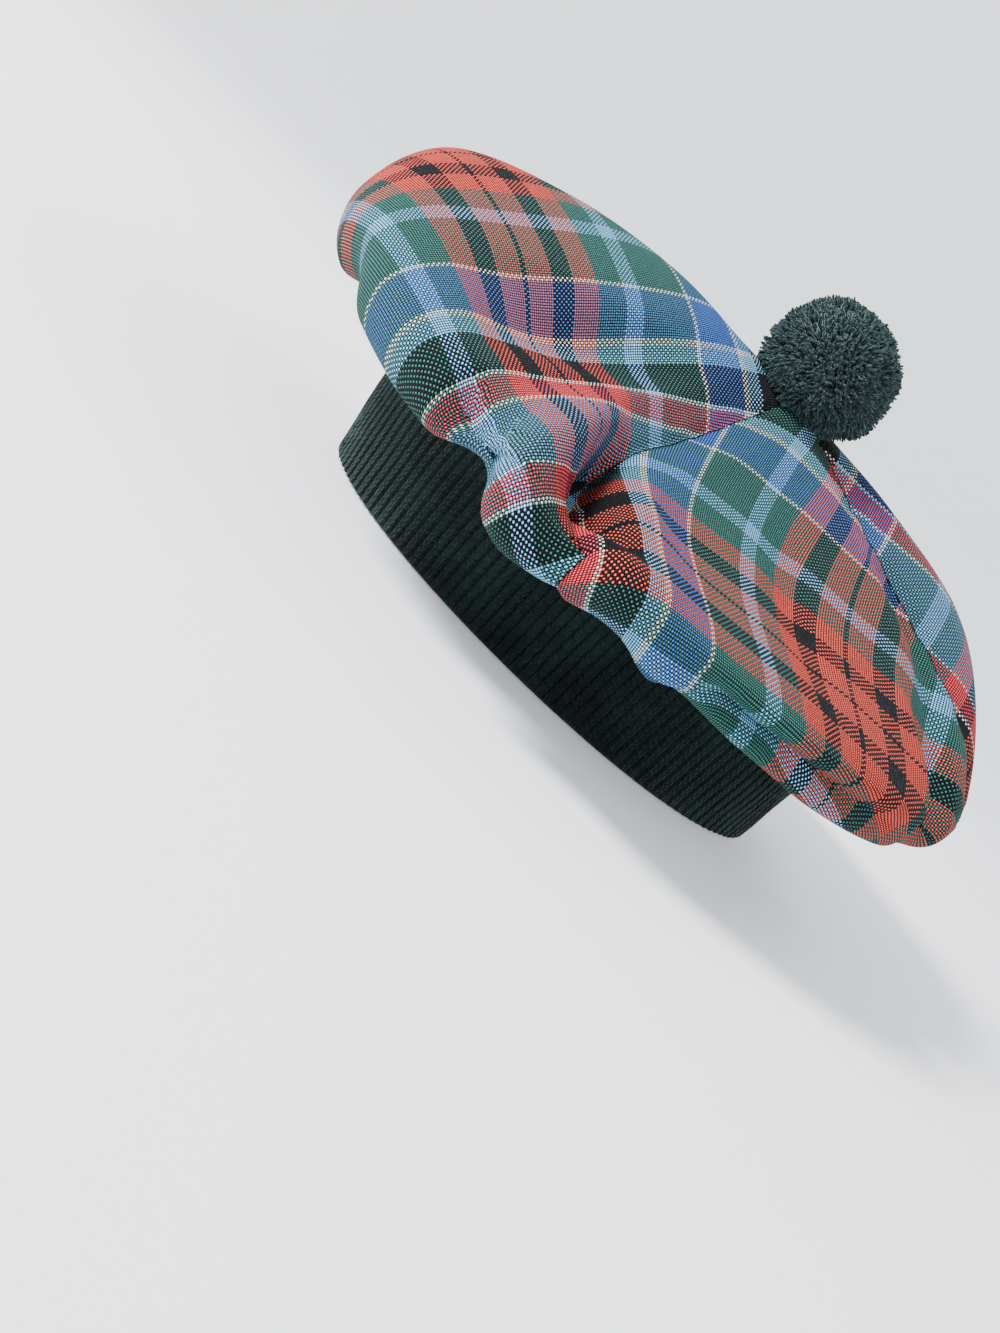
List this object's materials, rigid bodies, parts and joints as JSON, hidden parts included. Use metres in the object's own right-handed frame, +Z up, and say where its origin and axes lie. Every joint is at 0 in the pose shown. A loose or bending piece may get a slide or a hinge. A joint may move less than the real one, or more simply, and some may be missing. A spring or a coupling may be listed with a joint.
{
  "type": "tam o shanter",
  "caption": "Wide soft tartan cap with a gored crown, a deep ribbed knit headband and a yarn pompom on top.",
  "frame": {"origin": "middle of the hat's outline seen from above, in the plane of the headband's rim", "axes": "+Z up through the crown, from the rim to the pompom; -Y is the wearer's front and +X the wearer's left"},
  "size_m": [0.2934, 0.2864, 0.1545],
  "materials": {
    "knit_wool": "dark bottle green ribbed wool knit, soft and slightly fuzzy",
    "tartan_wool": "plain-woven wool tartan in red, green, blue, navy black, light blue and cream",
    "pompom_yarn": "dark bottle green cut wool yarn"
  },
  "bodies": {
    "root": {"headband": "knit_wool", "crown_rear_left": "tartan_wool", "crown_rear_right": "tartan_wool", "crown_front_right": "tartan_wool", "crown_front_left": "tartan_wool", "toorie": "pompom_yarn"}
  },
  "joints": []
}
